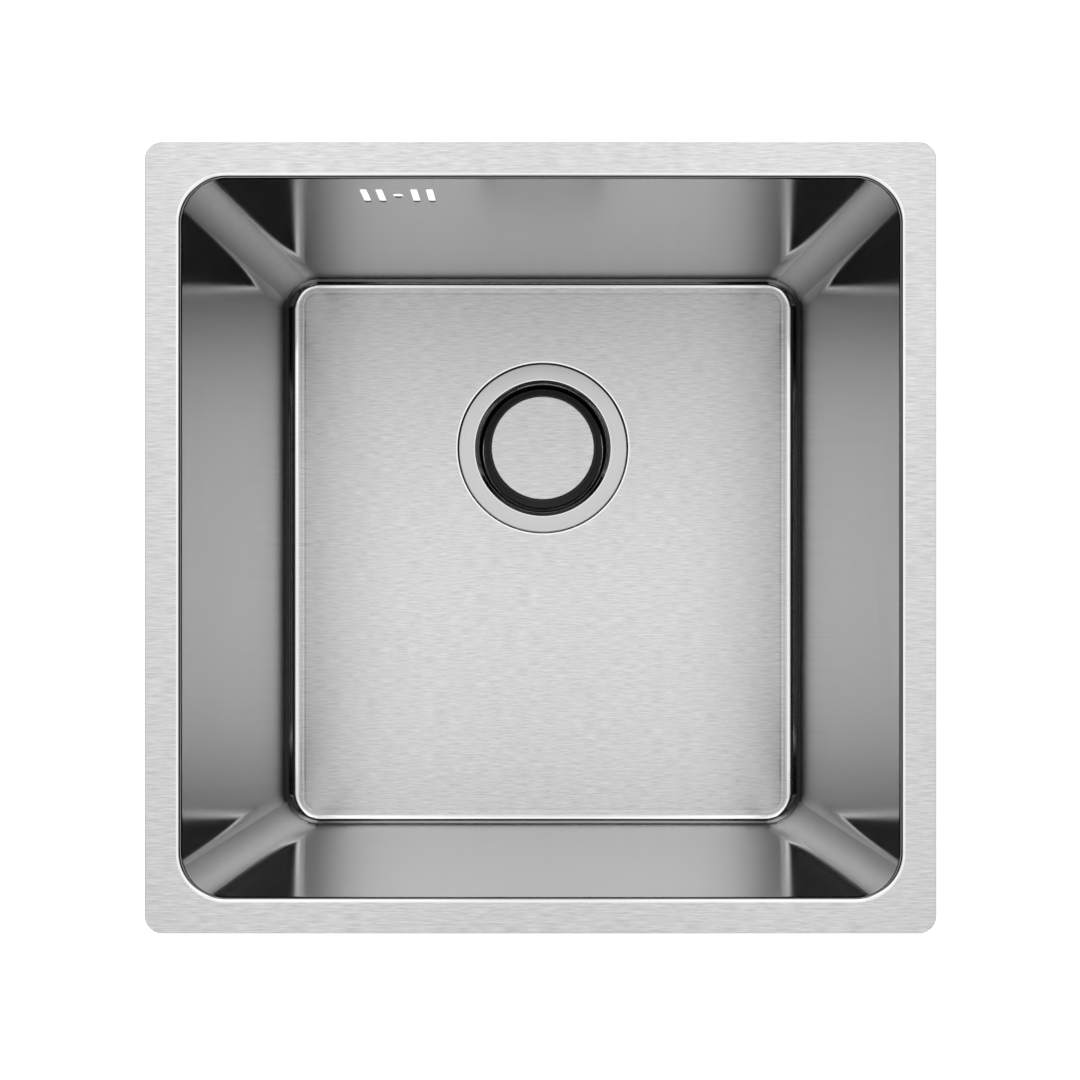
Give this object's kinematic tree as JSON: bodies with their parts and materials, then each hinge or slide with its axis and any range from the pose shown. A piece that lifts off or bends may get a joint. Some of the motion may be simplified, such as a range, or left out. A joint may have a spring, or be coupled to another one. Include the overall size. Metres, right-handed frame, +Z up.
{
  "type": "kitchen sink",
  "caption": "Square single-bowl undermount kitchen sink of brushed stainless sheet, with overflow slots and a basket strainer waste whose round cover is also its plug.",
  "frame": {"origin": "middle of the bowl's opening, in the plane of the rim's top face", "axes": "+Z up out of the bowl; +Y to the back wall, which has the overflow; +X to the right"},
  "size_m": [0.44, 0.44, 0.2822],
  "materials": {
    "brushed_stainless": "brushed in one direction",
    "satin_stainless": "satin, pressed sheet",
    "turned_stainless": "turned",
    "spring_steel": "drawn wire",
    "brass": "turned",
    "black_plastic": "moulded, fine matt",
    "white_plastic": "moulded polypropylene",
    "black_rubber": "moulded rubber",
    "pad_rubber": "die-cut sound-deadening sheet"
  },
  "bodies": {
    "basin": {"bowl": "brushed_stainless", "floor_pad": "pad_rubber", "left_pad": "pad_rubber", "right_pad": "pad_rubber", "front_pad": "pad_rubber", "back_pad": "pad_rubber", "drain_flange": "satin_stainless", "flange_gasket": "black_rubber", "body_gasket": "black_rubber", "waste_body": "white_plastic", "centre_screw": "turned_stainless", "screw_insert": "brass", "inlet_cap": "white_plastic", "inlet_seal": "black_rubber"},
    "basket": {"strainer_basket": "satin_stainless", "core_housing": "black_plastic", "housing_nut": "black_plastic", "core_cap": "black_plastic", "stem_ring": "black_rubber", "core_spring": "spring_steel"},
    "stopper": {"stopper_cap": "brushed_stainless", "stopper_body": "black_plastic", "stopper_seal": "black_rubber", "stopper_stem": "turned_stainless", "latch_ring": "white_plastic"}
  },
  "joints": [
    {"name": "basket_lift", "type": "slide", "parent": "basin", "child": "basket", "axis": [0, 0, 1], "range_m": [0, 0.26]},
    {"name": "stopper_slide", "type": "slide", "parent": "basket", "child": "stopper", "axis": [0, 0, 1], "range_m": [0, 0.009], "deforming": ["core_spring"]}
  ]
}
